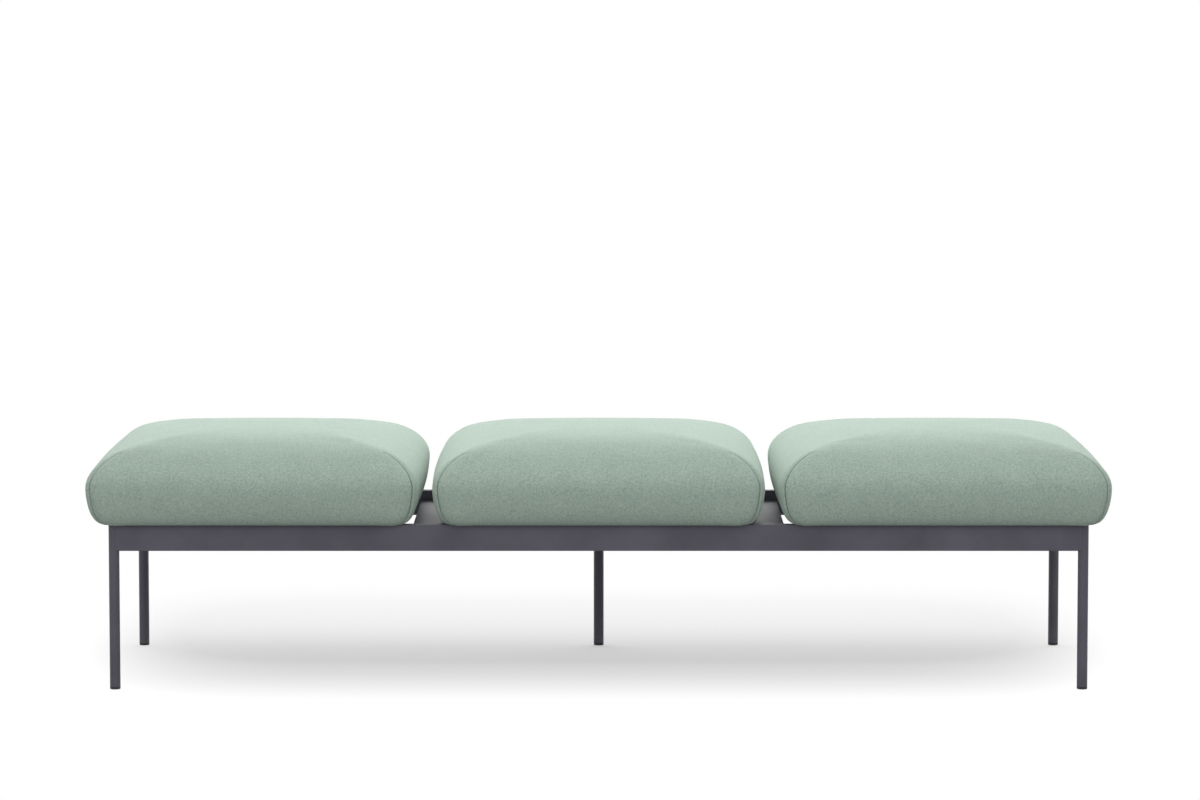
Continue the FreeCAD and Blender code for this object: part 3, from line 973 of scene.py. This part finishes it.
def staple_rows():
    work = bmesh.new()
    size = Vector((STAPLE_CROWN, STAPLE_WIRE, STAPLE_WIRE))
    for seat in seats:
        run = 2 * (seat.foot_deep - STAPLE_MARGIN)
        count = round(run / STAPLE_PITCH)
        z = seat.bottom + STAPLE_SINK - STAPLE_WIRE / 2
        for side in (-1, 1):
            x = seat.centre.x + side * (seat.foot_wide - STAPLE_INSET)
            for index in range(count + 1):
                y = seat.centre.y + run * (index / count - 0.5)
                for vert in bmesh.ops.create_cube(work, size=1.0)["verts"]:
                    vert.co = Vector((x, y, z)) + vert.co * size
    mesh = bpy.data.meshes.new("hem_staples")
    work.to_mesh(mesh)
    work.free()
    piece = bpy.data.objects.new("hem_staples", mesh)
    scene.collection.objects.link(piece)
    mesh.materials.append(zinc_material)
    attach(piece, "frame")
    return piece


staples = staple_rows()
print("staples:", len(staples.data.polygons) // STAPLE_FACES)

# %% [markdown]
# A glide is screwed out of its leg to level the bench, and then its thread shows. A bump in the finish
# would leave the outline of the stem smooth, so the stem is built from rings of points whose distance
# from the middle follows the thread: one crest for each turn, and a taper at the upper end.

# %% Threads of the glides
LEGS = ("front_left", "front_right", "rear_left", "rear_right", "rear_middle")
THREAD_PITCH = 0.00125
THREAD_DEPTH = 0.0007
THREAD_TAPER = 0.0012
THREAD_SIDES = 24
RINGS_PER_PITCH = 6


def threaded_stem(leg):
    low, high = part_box(f"{leg}_glide_stem")
    centre = (low + high) / 2
    radius = (high.x - low.x) / 2
    length = high.z - low.z
    rings = round(length / THREAD_PITCH * RINGS_PER_PITCH)
    height = np.repeat(np.linspace(0, length, rings + 1), THREAD_SIDES)
    turn = np.tile(np.arange(THREAD_SIDES) / THREAD_SIDES, rings + 1)
    groove = np.abs(2 * ((height / THREAD_PITCH - turn) % 1) - 1)
    taper = np.maximum(height - length + THREAD_TAPER, 0)
    reach = radius - np.maximum(THREAD_DEPTH * groove, taper)
    x = centre.x + reach * np.cos(2 * math.pi * turn)
    y = centre.y + reach * np.sin(2 * math.pi * turn)
    faces = round_faces(rings, THREAD_SIDES)
    ends = [tuple(range(THREAD_SIDES))[::-1], tuple(range(len(x) - THREAD_SIDES, len(x)))]
    piece = mesh_object(f"{leg}_threaded_stem", np.column_stack((x, y, low.z + height)), faces + ends)
    piece.data.polygons.foreach_set("use_smooth", [True] * len(faces) + [False] * len(ends))
    piece.data.materials.append(zinc_material)
    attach(piece, f"{leg}_glide")
    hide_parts(f"{leg}_glide_stem")
    return piece


stems = [threaded_stem(leg) for leg in LEGS]
print("threaded stems:", [(piece.name, len(piece.data.polygons)) for piece in stems])

# %% [markdown]
# The studio is a white sheet in a bright room. The sheet is white to the camera and greyer to the light
# that it throws back, because the seats get little light from below. To the camera a white glow is painted
# over it: a third of it under the bench, which lightens the bench's soft shadow there, and all of it
# around, where the shadow fades to plain white. From below it is clear, so that the underside can be looked
# at.

# %% Floor
FLOOR_SIZE = 14.0
FLOOR_GREY = (0.36, 0.36, 0.36, 1.0)
SHEET_TONE = (0.87, 0.87, 0.87, 1.0)
SHADOW_LIFT = 0.34
SHADOW_MIDDLE = 0.50
SHADOW_REACH = (1.03, 0.92)
SHADOW_ENDS = 4
SHADOW_FADE = (0.48, 1.0)


def studio_floor():
    half = FLOOR_SIZE / 2
    corners = [(-half, -half, 0), (half, -half, 0), (half, half, 0), (-half, half, 0)]
    floor = mesh_object("floor", corners, [(0, 1, 2, 3)])
    finish = Finish("studio_sheet")
    shown = finish.seen()
    reach_x, reach_y = SHADOW_REACH
    x, y = [finish.node("ShaderNodeSeparateXYZ", {}, {0: finish.place()}, axis) for axis in "XY"]
    across = (x * x * (1 / reach_x**2)) ** SHADOW_ENDS
    back = (y - SHADOW_MIDDLE) * (1 / reach_y)
    away = (across + back * back) ** 0.5
    # Painted light: the share of white glow that lightens the shadow, least under the bench and full around
    # it.
    lift = finish.between(away, *SHADOW_FADE, SHADOW_LIFT, 1.0)
    tone = finish.mix(shown, FLOOR_GREY, SHEET_TONE)
    finish.finish(Base_Color=tone, Roughness=0.9, Specular_IOR_Level=0.0)
    matt = Amount(finish, finish.shader.outputs[0])
    sheet = finish.blend(lift * shown, matt, finish.node("ShaderNodeEmission"))
    below = finish.node("ShaderNodeNewGeometry", output="Backfacing")
    clear = finish.node("ShaderNodeBsdfTransparent")
    finish.set(finish.output, {"Surface": finish.blend(below, sheet, clear)})
    floor.data.materials.append(finish.material)
    return floor


floor = studio_floor()
print("floor nodes:", len(floor.data.materials[0].node_tree.nodes))

# %% [markdown]
# The front slope of each seat is darker than its side slopes, so most of the light comes from above and
# from a broad white wall behind, with a weak fill from the front. The room itself is the world: white to
# the camera, and dimmer as a light.

# %% Light
WHITE = (1.0, 1.0, 1.0, 1.0)
ROOM_LIGHT = 0.48
LAMP_AIM = (0.0, 0.0, 0.4)
LAMPS = {
    "overhead": {"place": (0.0, 0.0, 3.0), "size": (3.0, 2.0), "power": 12},
    "back_wall": {"place": (0.0, 3.2, 1.5), "size": (9.0, 2.0), "power": 160},
    "front_fill": {"place": (0.0, -5.0, 2.8), "size": (5.0, 2.5), "power": 60},
}


def room_light():
    world = bpy.data.worlds.new("room")
    scene.world = world
    world.use_nodes = True
    room = Nodes(world.node_tree)
    strength = room.between(room.seen(), 0.0, 1.0, ROOM_LIGHT, 1.0)
    room.set(room.first("BACKGROUND"), {"Color": WHITE, "Strength": strength})


def soft_lamp(name, place, size, power):
    data = bpy.data.lights.new(name, "AREA")
    data.shape = "RECTANGLE"
    data.size, data.size_y = size
    data.energy = power
    lamp = bpy.data.objects.new(name, data)
    lamp.location = place
    lamp.rotation_euler = (Vector(LAMP_AIM) - Vector(place)).to_track_quat("-Z", "Y").to_euler()
    scene.collection.objects.link(lamp)


room_light()
for name, lamp in LAMPS.items():
    soft_lamp(name, **lamp)
print("lamps:", list(LAMPS))
